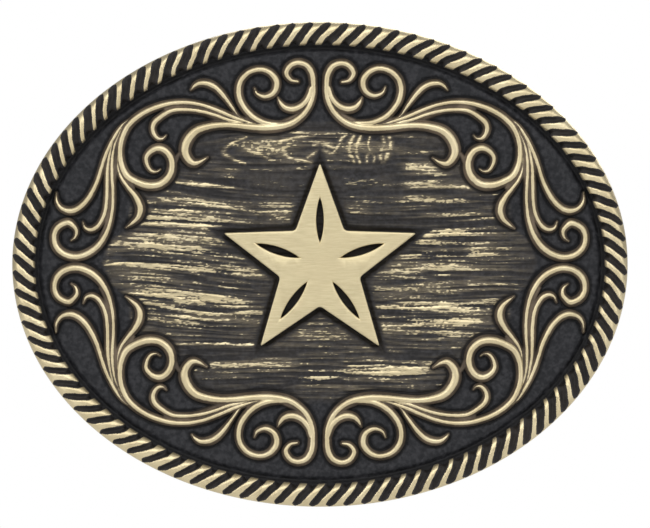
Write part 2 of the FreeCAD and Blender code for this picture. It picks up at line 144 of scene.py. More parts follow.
# Each stroke of the scrollwork: out from the middle, up, and half its width. The four corners share them.
SCROLLS = {
    "ring_and_long_leaf": (
        3.5, 28.1, .3,  4.6, 28.35, .45,  5.3, 29.4, .6,  4.65, 30.6, .65,  3.5, 31.05, .65,
        2.1, 30.6, .7,  1.3, 29.3, .7,  1.1, 27.6, .65,  1.15, 25.9, .6,  1.9, 24.0, .65,  3.2, 22.5, .7,
        4.9, 21.5, .8,  7.7, 21.0, .85,  10.5, 21.05, .8,  13, 21.3, .75,  15.2, 21.4, .75,
        17.35, 21.15, .85,  19.3, 20.5, .95,  20.6, 19.1, 1.0,  21.1, 17.5, .95,  20.7, 16.25, .85,
        19.8, 15.45, .7,  18.8, 15.6, .45,  17.6, 16.3, .12),
    "small_crescent": (
        1.35, 27.2, .45,  1.8, 25.7, .6,  2.8, 24.5, .7,  4.2, 23.95, .75,  5.4, 24.2, .65,
        6.1, 24.9, .45,  6.5, 25.7, .12),
    "top_volute": (
        10.2, 27.2, .1,  9.75, 26.3, .35,  8.4, 25.85, .55,  7.05, 26.65, .65,  6.75, 28.2, .75,
        7.7, 29.55, .7,  9.25, 30.1, .65,  11.1, 29.6, .65,  12.3, 28.3, .65,  12.65, 26.8, .65,
        12.35, 25.2, .65,  11.4, 23.7, .65,  10.1, 22.5, .7,  8.4, 21.75, .65,  6.6, 21.6, .5,
        5.0, 21.8, .25,  3.9, 22.1, .08),
    "side_volute": (
        24.9, 14.5, .08,  25.5, 14.15, .22,  26.3, 14.3, .36,  26.95, 15.2, .46,  27.1, 16.4, .55,
        26.3, 17.4, .65,  25.2, 17.8, .75,  24.1, 17.4, .75,  23.35, 16.4, .75,  23.1, 14.95, .75,
        23.6, 13.4, .8,  25.0, 12.25, .85,  26.8, 12.05, .9,  28.6, 12.6, .85,  30.15, 13.6, .8,
        31.0, 15.4, .7,  31.2, 17.4, .65,  30.9, 19.3, .65,  30.0, 21.2, .65,  28.6, 22.6, .65,
        26.7, 23.75, .65,  24.8, 24.45, .65,  23, 24.85, .6,  20.5, 24.9, .55,  18.3, 24.5, .5,
        16.8, 24.0, .5,  15.3, 23.4, .5,  13.7, 22.7, .5,  12, 22.1, .4,  10.2, 21.6, .25,  8.8, 21.4, .08),
    "hook_leaf": (
        23.9, 19.8, .08,  24.35, 19.35, .28,  25.05, 19.3, .42,  25.7, 19.9, .52,  26.0, 20.9, .6,
        25.7, 21.8, .65,  24.85, 22.6, .62,  23, 23.65, .55,  20.5, 23.8, .5,  18.3, 23.5, .5,
        16.4, 23.0, .45,  14.2, 22.2, .45,  12.3, 21.8, .3,  10.8, 21.4, .08),
    "sprig": (
        19.95, 26.8, .15,  19.4, 27.4, .4,  18.7, 27.8, .55,  17.5, 27.8, .65,  16.4, 27.35, .65,
        15.5, 26.6, .6,  14.5, 25.4, .5,  13.5, 24.0, .36,  12.6, 22.8, .22,  11.7, 22.2, .08),
    "outer_hook": (
        41.1, 10.9, .1,  41.0, 9.5, .35,  40.25, 8.45, .5,  38.9, 8.05, .7,  37.75, 8.4, .7,
        36.45, 9.55, .65,  35.5, 11, .6,  34.7, 12.7, .55,  34.1, 14.6, .5,  33.4, 16.7, .5,
        32.6, 18.5, .45,  31.7, 20.1, .4,  30.8, 21.4, .25,  29.9, 22.2, .08),
    "inner_hook": (
        36.9, 6.3, .1,  36.5, 5.4, .35,  35.7, 5.1, .5,  34.8, 5.45, .55,  34.0, 6.45, .5,  33.4, 8, .5,
        33.15, 10, .5,  33.1, 12.4, .5,  33.05, 14.5, .45,  32.7, 16.8, .35,  32.2, 18.8, .22,
        31.6, 20.0, .08),
    "low_volute": (
        38.75, 3.35, .1,  38.1, 3.9, .32,  37.9, 4.9, .5,  38.45, 5.7, .6,  39.1, 6.15, .7,
        40.0, 5.95, .7,  40.9, 5.3, .7,  41.4, 4.1, .65,  41.1, 2.5, .7,  39.9, 1.3, .75,  38, 0.85, .75,
        36.1, 1.4, .75,  34.5, 2.6, .7,  33.3, 4.4, .6,  32.6, 6.4, .5,  32.25, 8.6, .45,  32.2, 11.1, .45,
        32.35, 13.6, .45,  32.3, 16.1, .4,  31.9, 18.3, .3,  31.3, 19.8, .18,  30.9, 20.8, .08),
    "short_leaf": (
        30.2, 5.3, .1,  29.3, 5.95, .4,  28.4, 6.8, .6,  28.0, 7.85, .75,  28.1, 8.9, .75,
        28.8, 10.25, .65,  29.9, 11.6, .5,  30.9, 13.0, .4,  31.4, 14.4, .28,  31.5, 15.8, .16,
        31.4, 17.0, .08),
}
# The webs between stems that run side by side: out, up and half the width
WEBS = [
    (8.0, 21.5, .5,  11, 21.9, .75,  13.7, 22.4, .95,  16, 23.0, 1.15,  18.5, 23.9, 1.1,  20.5, 24.3, .9,
     22.3, 24.25, .8,  24.0, 23.9, .45),
    (31.3, 21.0, .3,  31.6, 19.8, .8,  31.9, 17.6, 1.2,  32.2, 15.0, 1.15,  32.4, 12.6, .9,  32.7, 10, .75,
     32.9, 7.6, .6,  33.3, 5.6, .5,  34.2, 4.0, .3),
    (31.2, 14.6, .5,  30.6, 13.3, .6,  29.9, 12.6, .5,  29.0, 11.6, .3),
    (3.3, 23.0, .35,  4.6, 22.2, .6,  6.5, 21.5, .6,  9, 21.5, .6),
    (21.9, 16.9, .35,  22.3, 16.2, .5,  22.5, 15.4, .35),
]
CORNER_PIECES = {"carved_face_right_upper": (1, 1), "carved_face_left_upper": (-1, 1),
                 "carved_face_left_lower": (-1, -1), "carved_face_right_lower": (1, -1)}
HAND_SHIFT, HAND_SWELL = 0.06, 0.05  # how unlike each other the four corners are cut
SCROLL_CENTRE = 0.3  # the scrollwork's middle over the oval's
STROKE_HEIGHT = 1.25  # of the widest strokes, over the ground
STROKE_SWELL = 1.08  # how much wider the strokes are cast than drawn
FLANK = 0.13  # what a stroke's flanks add to its half width
SHINE_SHARE, SHINE_INSET = 0.60, 0.09  # a bright line's share of its stroke, and what is taken off it
SHINE_LEAST = 0.05
SHINE_EDGE = 0.13  # how softly a bright line ends
OUTLINE = 0.55  # how far the black line at a stroke's foot reaches
WEB_HEIGHT = 0.62
FOOT_DEPTH = 0.22  # of the line cut round a stroke's foot
MOAT_INSET, MOAT_WIDTH, MOAT_DEPTH = 4.1, 0.42, 0.45  # the line cut round the rope's foot
WOOD_LIFT = 0.10  # the wood ground over the pebbled one
CELL = 0.125  # the carved face's grid
INNER_WIDTH = HALF_WIDTH - RIM_WIDTH + 0.45
INNER_HEIGHT = HALF_HEIGHT - RIM_WIDTH + 0.45

half_x = int(math.ceil(INNER_WIDTH / CELL))
half_z = int(math.ceil(INNER_HEIGHT / CELL))
X, Z = np.meshgrid(np.arange(-half_x, half_x + 1) * CELL, np.arange(-half_z, half_z + 1) * CELL,
                   indexing="ij")


def stamp(field, margin, track, rise):
    """Raises a grid along a stroke: rise gives the value at a distance from a disc of that half width."""
    for u, v, w in track:
        reach = w + margin
        i0, i1 = np.searchsorted(X[:, 0], (u - reach, u + reach))
        j0, j1 = np.searchsorted(Z[0], (v - reach, v + reach))
        if i0 >= i1 or j0 >= j1:
            continue
        part = field[i0:i1, j0:j1]
        np.maximum(part, rise(w, np.hypot(X[i0:i1, j0:j1] - u, Z[i0:i1, j0:j1] - v)), out=part)


def stroke_section(w, d):
    """A stroke's section: a rounded crest with steep flanks."""
    r = np.clip(d / w, 0, 1)
    return STROKE_HEIGHT * (1 - math.exp(-w / 0.4)) * (1 - r ** 2.1) ** 1.05


def web_section(w, d):
    """The low web between stems that run side by side."""
    return ramp(w, 0.45 * w, d)


def outline_section(w, d):
    """The black line at a stroke's foot."""
    return np.clip(1 - (d - w) / OUTLINE, 0, 1) * (d >= 0)


def crest_section(w, d):
    """How near the crest is: 1 on it, 0 at the stroke's foot."""
    return np.clip(1 - d / w, 0, 1)


def shine_section(w, d):
    """The line along a crest that is rubbed bright."""
    return ramp(w + SHINE_EDGE, w - SHINE_EDGE, d)


def carve_scrolls():
    """The strokes' height, nearness to their crest, rubbed line, webs and outline, all four corners."""
    height, crest, shine, web, outline = (np.zeros_like(X) for _ in range(5))
    for corner, (sx, sz) in enumerate(CORNER_PIECES.values()):
        hand = np.random.default_rng(40 + corner)

        def placed(points, shift, extra=0.0):
            """A stroke's track in this corner."""
            track = smooth_curve(points)
            track[:, 0] = sx * (track[:, 0] + shift[0])
            track[:, 1] = sz * (track[:, 1] + shift[1]) + SCROLL_CENTRE
            track[:, 2] = track[:, 2] * STROKE_SWELL + extra
            return track

        for points in SCROLLS.values():
            shift = hand.normal(0, HAND_SHIFT, 2)
            track = placed(points, shift, FLANK)
            track[:, 2] *= 1 + HAND_SWELL * np.sin(np.arange(len(track)) * 0.021 + hand.uniform(0, 6))
            stamp(height, 0.0, track, stroke_section)
            stamp(crest, 0.0, track, crest_section)
            stamp(outline, OUTLINE, track, outline_section)
            track = placed(points, shift)
            track[:, 2] = np.maximum(SHINE_SHARE * track[:, 2] - SHINE_INSET, SHINE_LEAST)
            stamp(shine, SHINE_EDGE, track, shine_section)
        for points in WEBS:
            stamp(web, 0.0, placed(points, (0, 0)), web_section)
    return height, crest, shine, web, outline


def knot_share(kx, kz, wide, tall):
    """0 in a knot's middle, 1 on its outline."""
    return np.hypot((X - kx) / wide, (Z - kz) / tall)


def grain_lines():
    """The wood's grain as a field whose level lines run along it, bent round its knots."""
    lines = Z.copy()
    for kx, kz, wide, tall, bend in ((8.0, 17.8, 3.4, 2.3, 1.0), (-8.5, 17.9, 6.5, 1.7, 1.0),
                                     (25.5, 1.2, 3.0, 1.0, .5), (-1.0, 17.6, 2.0, 1.2, .5),
                                     (-27, -10, 4.0, 1.2, .4), (12, -16.8, 4.5, 1.2, .5)):
        lines -= bend * (Z - kz) / (1 + knot_share(kx, kz, wide, tall) ** 2) ** 1.3
    return lines


# The knots' outlines over the emblem, as short strokes: along, up, half width
KNOT_LINES = [
    (-11.4, 19.8, .16,  -13.2, 19.1, .18,  -14.5, 18.2, .2,  -15.0, 17.5, .24,  -14.5, 16.9, .22,
     -13.2, 16.2, .18,  -11.6, 15.7, .14),
    (-11.7, 18.2, .15,  -10.4, 17.5, .2,  -9.1, 17.0, .2,  -7.5, 16.2, .16),
    (-8.6, 18.2, .2,  -6.7, 18.9, .3,  -4.7, 19.5, .22,  -2.6, 19.9, .22,  -.9, 20.1, .16),
    (-7.4, 17.9, .5,  -6.4, 17.6, .55,  -5.6, 17.2, .3,  -4.6, 16.5, .18,  -2.6, 16.2, .2,  -.3, 15.6, .2),
    (-1.9, 16.6, .2,  -.8, 17.3, .24,  .5, 17.8, .22,  1.8, 17.3, .2,  2.9, 18.5, .2,  3.4, 19.6, .2,
     4.2, 20.2, .14),
    (-1.0, 18.5, .2,  .4, 18.9, .3,  1.6, 18.4, .3,  2.2, 18.0, .2),
    (5.3, 20.0, .2,  4.7, 18.8, .34,  4.6, 17.5, .34,  5.3, 16.0, .2),
    (6.4, 20.0, .2,  5.8, 18.6, .26,  5.7, 17.3, .24,  6.2, 15.9, .18),
    (7.8, 19.9, .14,  7.5, 18.6, .18,  7.8, 17.6, .14),
    (7.3, 16.0, .16,  7.3, 16.9, .17,  7.9, 17.4, .17,  8.45, 16.9, .17,  8.4, 16.0, .16),
    (9.7, 20.1, .2,  10.0, 18.8, .26,  9.4, 17.3, .34,  9.6, 16.0, .24),
    (10.7, 20.1, .2,  11.0, 18.6, .3,  10.6, 17.3, .36,  10.0, 16.0, .2),
]


def knot_rings(rough):
    """The bright outlines of the two knots over the emblem."""
    rings = np.zeros_like(X)
    for points in KNOT_LINES:
        stamp(rings, 0.45, smooth_curve(points), lambda w, d: np.exp(-(d / w) ** 2))
    return rings * ramp(-1.2, 0.5, rough)


# Bright bands where the wood's grain is rubbed: middle out, middle up, half length, half height, strength
RUBBED_BANDS = (
    -20, -1, 13, 11, .34,  20, 0, 11, 11, .36,  0, 18.2, 16, 2.6, .30,  2, -16.8, 15, 3.0, .44,
    0, -10, 20, 3, .3,  -22, 6.3, 10, 1.2, .9,  -22, 2.0, 12, 1.0, .85,  -21, -.9, 12, .45, .95,
    -24, 3.9, 6, .8, .6,  -20, -5.3, 10.5, 1.0, .85,  -18, -7.3, 11.5, 1.0, .95,  -18.5, -9.6, 9, .8, .75,
    -19, 9.6, 7.0, .9, .6,  -19, 12.4, 6.5, 1.3, .5,  -20, 8.1, 8, .45, .7,  -23, -3.2, 6, .6, .55,
    -15, -12.2, 9, .4, .75,  -26, 1.2, 5, .6, .7,  -13, 3.2, 5, .8, .5,  -16, 14.6, 3.4, .45, .5,
    -27, -6.2, 4, .5, .5,  19, 9.9, 7, .45, .8,  21, 7.2, 7.5, .5, .8,  20, 5.0, 8, .8, .95,
    19.5, 3.4, 8, .7, 1.0,  20, 1.5, 9, .8, .9,  21.5, -1.0, 8, .5, .6,  19, -3.0, 7, .4, .5,
    19, -4.6, 7, .5, .6,  18, -6.6, 10.5, .9, .9,  17, -8.8, 9.5, .9, .9,  20, -11, 7, .7, .6,
    15.5, 15.2, 3.4, .7, .75,  16.5, 13.6, 3.6, .6, .7,  19, 12.0, 5.5, .5, .55,  12, -13.2, 7, .5, .55,
    23, 0.2, 8, .35, .5,  9.0, -16.6, 8.5, 1.3, .85,  1.0, -17.6, 7.0, 1.2, .75,  16, -15.6, 5, .6, .6,
    -9, -15.4, 7, .7, .55,  -2, -15.0, 5, .5, .5,  -6, -18.6, 7, .5, .4,  5, -19.2, 7, .5, .4,
    -6.4, 17.8, 1.6, 1.0, .62,  -10.5, 17.9, 2.0, .7, .45,  0.8, 18.3, 2.0, 1.2, .6,
    5.2, 17.8, .9, 1.9, .6,  10.4, 17.8, 1.0, 1.9, .6,  -2, 20.3, 5, .4, .35,  -6.2, 7, 2.2, 3, .35,
    6, 7, 2.2, 3, .35)


def carve_wood():
    """The wood ground: its small height, where its grain is rubbed bright, worn brown, and left dark."""
    lines = grain_lines()
    bend = 0.30 * soft_noise(X / 9 + 3, Z / 4, 11)
    tilt = 1.7 * ramp(-32, -7, X) * ramp(-13.5, -9, Z) * ramp(15, 11, Z)
    g = lines + bend + tilt
    broad = soft_noise(X / 14 + 7, g / 1.1, 12)
    middle = soft_noise(X / 9 + 1, g / 0.46, 13)
    fine = soft_noise(X / 7 + 5, g / 0.24, 14)
    thread = soft_noise(X / 2.4 + 2, g / 0.20, 16)
    speck = soft_noise(X / 0.32, Z / 0.2, 15)
    height = 0.05 * broad + 0.08 * middle + 0.08 * fine + 0.04 * thread + 0.02 * speck
    bands = np.zeros_like(X)
    for cx, cz, wide, tall, much in rows(RUBBED_BANDS, 5):
        slant = tilt - 0.9 if cx < -12 and abs(cz) < 11 else 0
        reach = np.exp(-((X - cx) / wide) ** 4 - ((Z + 0.7 * bend + slant - cz) / tall) ** 2)
        bands = np.maximum(bands, much * reach)
    rings = knot_rings(thread + 0.6 * speck)
    rubbed = 0.42 * middle + 0.62 * fine + 0.14 * broad + 0.42 * thread + 0.34 * speck
    rub = ramp(-0.26, 0.36, rubbed - 0.60 + 0.86 * bands) * (0.28 + 0.80 * np.sqrt(bands))
    quiet = 0.5 * ramp(1.3, 0.9, knot_share(8.0, 17.8, 3.3, 2.2))
    quiet += 0.8 * ramp(1.0, 0.6, knot_share(-8.3, 17.9, 6.4, 1.75)) * ramp(-0.5, 0.4, -speck)
    rub = np.maximum(rub * (1 - quiet), 0.95 * rings)
    haze = np.clip(0.40 + 0.8 * middle + 0.8 * fine + 0.4 * thread, 0, 1) * bands ** 0.8
    haze = np.maximum(haze, 0.8 * np.sqrt(rings))
    dark = ramp(0.20, 0.65, -rubbed)
    return height + 0.08 * np.clip(rings, 0, 1), np.clip(rub, 0, 1), haze, dark


def carve_face():
    """The whole front's height over the back, and the masks its patina is laid by."""
    strokes, crest, shine, web, outline = carve_scrolls()
    raised = np.maximum(strokes, WEB_HEIGHT * web)
    wood, rub, haze, dark = carve_wood()
    # the wood lies inside the ring of scrolls; outside it the ground is pebbled
    inside = ring_mask()
    pebble = (0.04 * soft_noise(X / 0.8, Z / 0.8, 21) + 0.045 * soft_noise(X / 0.34, Z / 0.34, 22)
              + 0.03 * soft_noise(X / 2.6, Z / 2.6, 23))
    ground = inside * (wood + WOOD_LIFT) + (1 - inside) * pebble
    clear = 1 - ramp(0.15, 0.8, outline)
    moat = np.exp(-(outside_oval(MOAT_INSET) / MOAT_WIDTH) ** 2)
    free = 1 - ramp(0.03, 0.45, raised)
    height = GROUND + ground * free + raised - FOOT_DEPTH * outline * free - MOAT_DEPTH * moat
    aside = 1 - ramp(0.15, 0.75, web)
    foot = outline * (1 - ramp(0.03, 0.2, crest)) * aside
    return height, dict(rub=rub * inside * clear, haze=haze * inside * clear, crest=crest, shine=shine,
                        web=web, inside=inside, dark=dark * inside, foot=foot)


def outside_oval(inset):
    """Rough distance outside the oval that lies inset within the plate's edge, negative inside it."""
    r = np.hypot(X / (HALF_WIDTH - inset), Z / (HALF_HEIGHT - inset))
    return (r - 1) * np.hypot(X, Z) / np.maximum(r, 1e-6)


def ring_mask():
    """1 inside the ring that the scrolls make, 0 between it and the rope."""
    outline = [(0, 21.6), (8, 21.2), (16, 21.5), (20.5, 19.4), (22.6, 15.2), (24.6, 12), (28, 11.2),
               (29.5, 9), (29.5, 5.5), (32.5, 3.5), (33.8, 0)]
    ring = outline + [(x, -z) for x, z in outline[-2::-1]]
    ring += [(-x, -z) for x, z in outline[1:]]
    ring += [(-x, z) for x, z in outline[-2:0:-1]]
    ring = np.array(ring, float) + (0, SCROLL_CENTRE)
    angles = np.arctan2(ring[:, 1], ring[:, 0])
    reach = np.hypot(ring[:, 0], ring[:, 1])
    limit = np.interp(np.arctan2(Z, X), angles, reach, period=2 * math.pi)
    return ramp(0.5, -0.5, np.hypot(X, Z) - limit)


# ---------- meshes

FACE_FLOOR = 1.5  # where the carved pieces end under the face


def array_mesh(name, verts, loops, sizes):
    """A mesh from arrays: points, the points round every face, and how many each face has."""
    mesh = bpy.data.meshes.new(name)
    mesh.vertices.add(len(verts))
    mesh.vertices.foreach_set("co", np.asarray(verts, np.float32).ravel())
    mesh.loops.add(len(loops))
    mesh.loops.foreach_set("vertex_index", loops.astype(np.int32))
    mesh.polygons.add(len(sizes))
    mesh.polygons.foreach_set("loop_start", (np.cumsum(sizes) - sizes).astype(np.int32))
    mesh.update(calc_edges=True)
    mesh.shade_smooth()
    return mesh


def read(items, what, width, kind=np.float32):
    """One property of all a mesh's points, edges or faces, with a row for each."""
    values = np.empty(len(items) * width, kind)
    items.foreach_get(what, values)
    return values.reshape(-1, width)


def add_mask(mesh, name, values):
    """Keeps a value for every point of a mesh, for its material to read."""
    mesh.attributes.new(name, "FLOAT", "POINT").data.foreach_set("value", np.asarray(values, np.float32))


def add_map(mesh, uv):
    """The flat map that the finish is laid out on."""
    mesh.uv_layers.new(name="OFBake").data.foreach_set("uv", uv.astype(np.float32).ravel())


def put(name, data):
    """A new object in the scene."""
    made = bpy.data.objects.new(name, data)
    bpy.context.scene.collection.objects.link(made)
    return made


def as_mesh(shape):
    """The mesh that an object comes to; the object itself goes."""
    bpy.context.view_layer.update()
    mesh = bpy.data.meshes.new_from_object(shape.evaluated_get(bpy.context.evaluated_depsgraph_get()))
    bpy.data.objects.remove(shape)
    return mesh


def placed_piece(name, mesh, finish):
    """A piece of the buckle's own body."""
    mesh.materials.append(finish)
    piece = put(name, mesh)
    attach(piece, "buckle")
    return piece


def edge_keys(ends, count):
    """One number for each edge, whichever end comes first."""
    ends = np.sort(ends, 1).astype(np.int64)
    return ends[:, 0] * count + ends[:, 1]


def cell_corners(grid):
    """A grid's values at the four corners of every cell, in order round it."""
    return grid[:-1, :-1], grid[1:, :-1], grid[1:, 1:], grid[:-1, 1:]


def carved_quarters(height, masks):
    """The carved face as four closed pieces that meet at the middle lines."""
    top = bowed(X, Z, height)
    within = (X / INNER_WIDTH) ** 2 + (Z / INNER_HEIGHT) ** 2 <= 1
    finish = carved_finish()
    pieces = []
    for name, (sx, sz) in CORNER_PIECES.items():
        cells = np.all(cell_corners(within & (X * sx >= 0) & (Z * sz >= 0)), axis=0)
        ci, cj = np.nonzero(cells)
        index = np.full(X.shape, -1)
        used = np.zeros(X.shape, bool)
        for di, dj in ((0, 0), (1, 0), (1, 1), (0, 1)):
            used[ci + di, cj + dj] = True
        count = used.sum()
        index[used] = np.arange(count)
        quads = np.stack([corner[cells] for corner in cell_corners(index)], 1)
        # skirt: every edge with a face on one side only goes down to the floor, which is one fan
        edges = np.concatenate([quads[:, [0, 1]], quads[:, [1, 2]], quads[:, [2, 3]], quads[:, [3, 0]]])
        keys = edge_keys(edges, count)
        found, counts = np.unique(keys, return_counts=True)
        rim = edges[np.isin(keys, found[counts == 1])]
        rim_points = np.unique(rim)
        low_index = np.full(count, -1)
        low_index[rim_points] = count + np.arange(len(rim_points))
        low_x = np.append(X[used][rim_points], sx * INNER_WIDTH * 0.4)
        low_z = np.append(Z[used][rim_points], sz * INNER_HEIGHT * 0.4)
        verts = np.vstack([top[used], bowed(low_x, low_z, np.full(len(low_x), FACE_FLOOR))])
        skirt = np.stack([rim[:, 1], rim[:, 0], low_index[rim[:, 0]], low_index[rim[:, 1]]], 1)
        fan = np.stack([low_index[rim[:, 1]], low_index[rim[:, 0]], np.full(len(rim), len(verts) - 1)], 1)
        loops = np.concatenate([quads.ravel(), skirt.ravel(), fan.ravel()])
        sizes = np.concatenate([np.full(len(quads) + len(skirt), 4), np.full(len(fan), 3)])
        mesh = array_mesh(name, verts, loops, sizes)
        for mask, values in masks.items():
            add_mask(mesh, mask, np.concatenate([values[used], np.zeros(len(low_x))]))
        # the face takes the map's big square, and the skirt and floor a small corner of it
        uv = (0.02 + 0.9 * np.abs(verts[:, [0, 2]] / MM) / (INNER_WIDTH, INNER_HEIGHT))[loops]
        uv[quads.size:] = 0.93 + 0.05 * uv[quads.size:]
        add_map(mesh, uv)
        hard = np.concatenate([edge_keys(rim, len(verts)), edge_keys(low_index[rim], len(verts))])
        sharp = np.isin(edge_keys(read(mesh.edges, "vertices", 2, np.int32), len(verts)), hard)
        mesh.attributes.new("sharp_edge", "BOOLEAN", "EDGE").data.foreach_set("value", sharp)
        pieces.append(placed_piece(name, mesh, finish))
    return pieces


def oval_track(count, inset):
    """Points evenly spaced along the oval inset from the plate's edge, with their outward normals."""
    fine = np.linspace(0, 2 * math.pi, 8001)
    a, b = HALF_WIDTH, HALF_HEIGHT
    nx, nz = np.cos(fine) / a, np.sin(fine) / b
    length = np.hypot(nx, nz)
    nx, nz = nx / length, nz / length
    x, z = a * np.cos(fine) - inset * nx, b * np.sin(fine) - inset * nz
    run = np.concatenate([[0], np.cumsum(np.hypot(np.diff(x), np.diff(z)))])
    want = np.linspace(0, run[-1], count, endpoint=False)
    pick = lambda values: np.interp(want, run, values)
    return pick(x), pick(z), pick(nx), pick(nz), want / run[-1]


ROPE_TWIST = 1.10  # strands that one strand passes on its way from edge to edge
ROPE_CROWDING = 0.034  # how much closer the strands lie at the ends of the oval
ROPE_RUBBED = 0.61  # where it is rubbed hardest, and again half way round
ROPE_UNDER = 0.9  # its depth behind its middle
GROOVE_DEPTH, CROWN_RISE = 0.60, 0.10
GROOVE_WIDTH, GROOVE_OPENING, GROOVE_AT_SIDES, GROOVE_LOST = 0.59, 0.13, 0.03, 0.14
MAP_BANDS = 8  # the map's bands, each an eighth of the rope


def rope_rim():
    """The twisted rope round the rim: one closed ring whose strands are cut by lens-shaped grooves."""
    x, z, nx, nz, share = oval_track(ROPE_STEPS, ROPE_HALF)
    # a is 0 at the outer edge, half a turn at the inner edge, and the rest is under the rope
    s, a = np.meshgrid(share, np.linspace(0, 2 * math.pi, ROPE_SIDES, endpoint=False), indexing="ij")
    lean = (1 - np.cos(np.clip(a, 0, math.pi))) / 2  # 0 at the outer edge, 1 at the inner
    s = s + ROPE_CROWDING / (4 * math.pi) * np.sin(4 * math.pi * s)
    along = s * STRANDS
    wobble = (0.08 * soft_noise(along * 0.8, lean * 1.5, 31) + 0.025 * soft_noise(along * 2.3, lean * 4, 32)
              + 0.012 * soft_noise(along * 6, lean * 12, 34))
    # the strands run even where the ring closes
    wobble *= ramp(0.0, 0.015, s) * ramp(1.0, 0.985, s)
    twist = ROPE_TWIST * lean - 0.03 * np.sin(2 * math.pi * lean)
    off = np.abs((along - twist + wobble) % 1.0 - 0.5) * 2  # 0 in a groove's middle, 1 on a strand's
    # the groove's half width: nothing at the outer edge, widest past the middle, open at the inner edge
    side = np.cos(2 * math.pi * s) ** 2
    # where the rope is rubbed hardest its grooves are narrow lenses, closed at both ends
    worn = 0.5 + 0.5 * np.cos(4 * math.pi * (s - ROPE_RUBBED))
    wide = GROOVE_WIDTH + GROOVE_AT_SIDES * side + GROOVE_OPENING * lean - GROOVE_LOST * worn
    wide *= ramp(0.0, 0.08 + 0.12 * worn, lean) ** 0.55
    wide *= 1 - 0.30 * worn * ramp(0.72, 1.0, lean)
    front = a <= math.pi * 1.0001
    shown = ramp(0.012, 0.12, lean) * front
    groove = np.clip(1 - off / np.maximum(wide, 1e-3), 0, 1)
    cut = (GROOVE_DEPTH * groove ** 0.7 * shown - CROWN_RISE * np.clip(off - wide, 0, 1) * shown
           + 0.03 * soft_noise(along * 9, a * 5, 33) * shown)
    flat_top = 1 - 0.10 * np.sin(np.clip(a, 0, math.pi)) ** 8
    rise = np.where(a > math.pi, np.sin(a) * ROPE_UNDER, np.sin(a) * (ROPE_RISE * flat_top - cut))
    # the strands' inner ends are scalloped
    inner = ramp(0.80, 1.0, lean) * (a <= math.pi * 1.3)
    out = np.cos(a) * (ROPE_HALF - 0.35 * cut) + inner * (0.45 * groove ** 0.8 - 0.08)
    verts = bowed(x[:, None] + nx[:, None] * out, z[:, None] + nz[:, None] * out, ROPE_CENTRE + rise)
    i, j = (grid.ravel() for grid in np.indices(s.shape))
    steps = ((0, 0), (0, 1), (1, 1), (1, 0))
    quads = np.stack([(i + di) % ROPE_STEPS * ROPE_SIDES + (j + dj) % ROPE_SIDES for di, dj in steps], 1)
    mesh = array_mesh("rope_rim", verts.reshape(-1, 3), quads.ravel(), np.full(len(quads), 4))
    bright = np.where(front, np.clip((off - wide) / 0.14 + 0.5, 0, 1), np.where(a > 1.6 * math.pi, 0.55, 0.0))
    edge = ramp(0.93, 1.0, lean) * (a < 1.5 * math.pi)
    add_mask(mesh, "crest", (bright * (1 - 0.75 * edge)).ravel())
    add_mask(mesh, "groove", (groove * shown).ravel())
    per = ROPE_STEPS // MAP_BANDS
    band = i // per
    uv = np.stack([np.stack([0.01 + 0.98 * (i - band * per + di) / per,
                             (band + 0.04 + 0.92 * (j + dj) / ROPE_SIDES) / MAP_BANDS], 1)
                   for di, dj in steps], 1)
    add_map(mesh, uv)
    return placed_piece("rope_rim", mesh, rope_finish())


CAST_VOXEL = 0.42 * MM  # how finely the cast back is drawn
CAST_KEPT = 0.9  # the height up to which the casting stays as it is
CAST_FLOW = 0.36  # how much of its rise it keeps above that, under the face
FITTING_SHADE_REACH = 2.2  # how far the painted shade lies round the hinge leaf and the hook's base
MAP_SHARE = 0.44  # of the map, for half the back's width or height


def height_over_back(places):
    """How far points are over the bowed back."""
    return np.hypot(BOW_RADIUS - places[:, 1], places[:, 0]) - BOW_RADIUS


